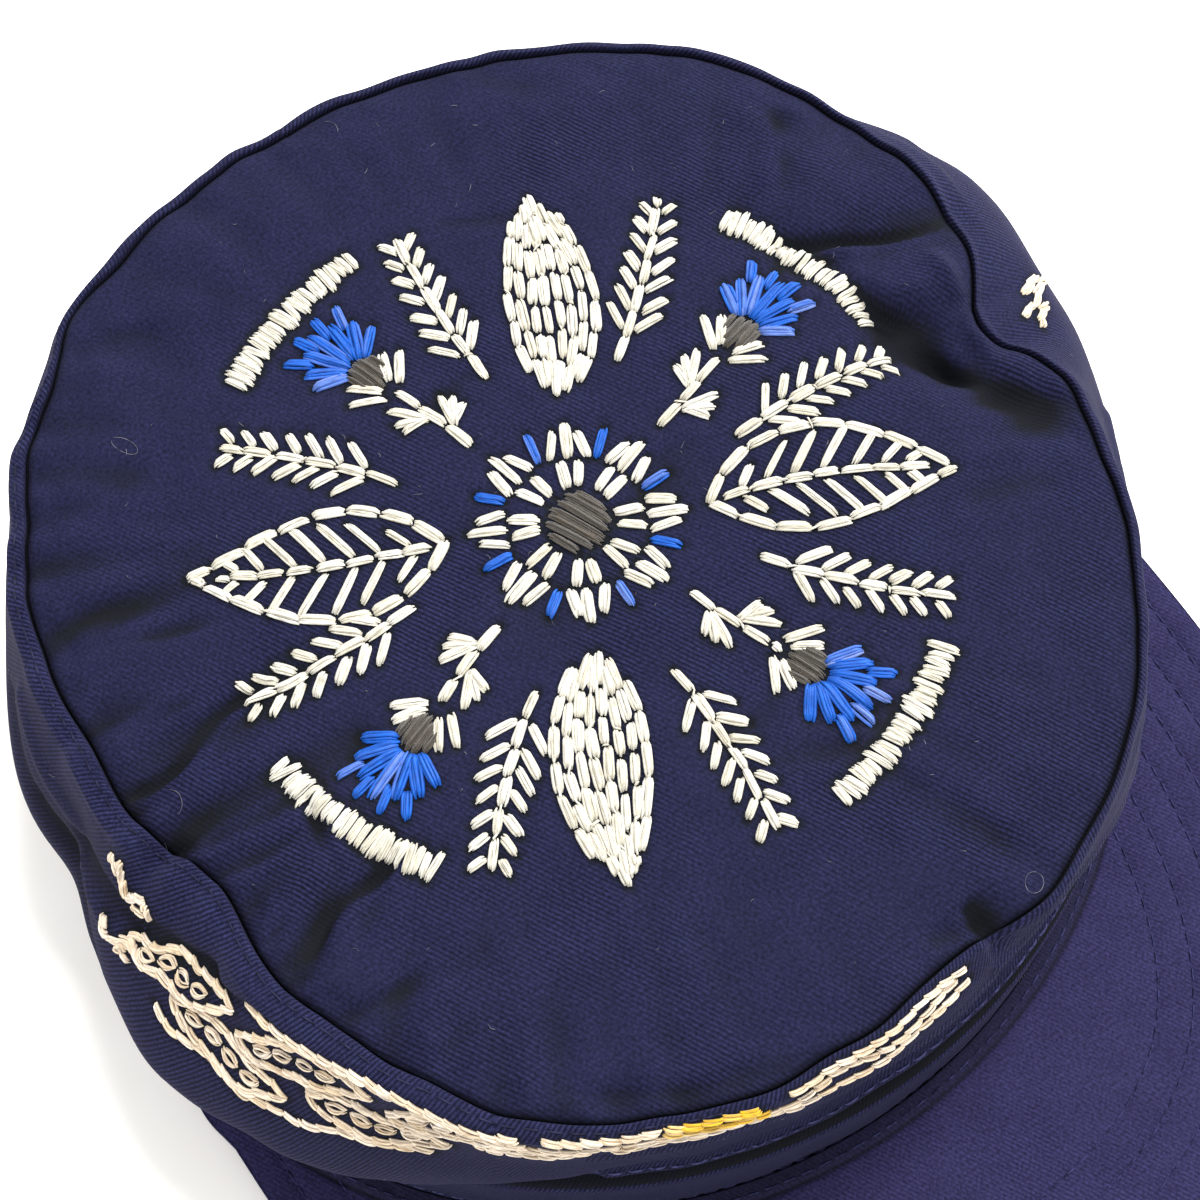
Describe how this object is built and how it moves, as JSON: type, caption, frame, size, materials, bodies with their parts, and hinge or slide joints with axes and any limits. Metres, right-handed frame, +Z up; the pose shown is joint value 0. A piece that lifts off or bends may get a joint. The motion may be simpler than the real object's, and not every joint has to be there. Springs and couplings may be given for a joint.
{
  "type": "embroidered army cap",
  "caption": "Soft navy twill army cap with a flat oval top, raised top seam, slumped side wall, head band and stitched peak.",
  "frame": {"origin": "middle of the cap's footprint on the table it lies on", "axes": "+Z up out of the top, -Y out of the peak, +X to the wearer's left"},
  "size_m": [0.2084, 0.2548, 0.0816],
  "materials": {
    "top_twill": "navy cotton twill, matte",
    "wall_twill": "navy cotton twill, matte",
    "band_twill": "navy cotton twill, matte",
    "peak_twill": "navy cotton twill, matte",
    "seam_thread": "navy sewing thread",
    "floss_white": "off-white embroidery floss",
    "floss_cream": "cream embroidery floss",
    "floss_blue": "bright blue embroidery floss",
    "floss_dark": "dark brown embroidery floss",
    "floss_yellow": "yellow embroidery floss"
  },
  "bodies": {
    "root": {"crown_top": "top_twill", "crown_wall": "wall_twill", "head_band": "band_twill", "peak": "peak_twill"}
  },
  "joints": []
}
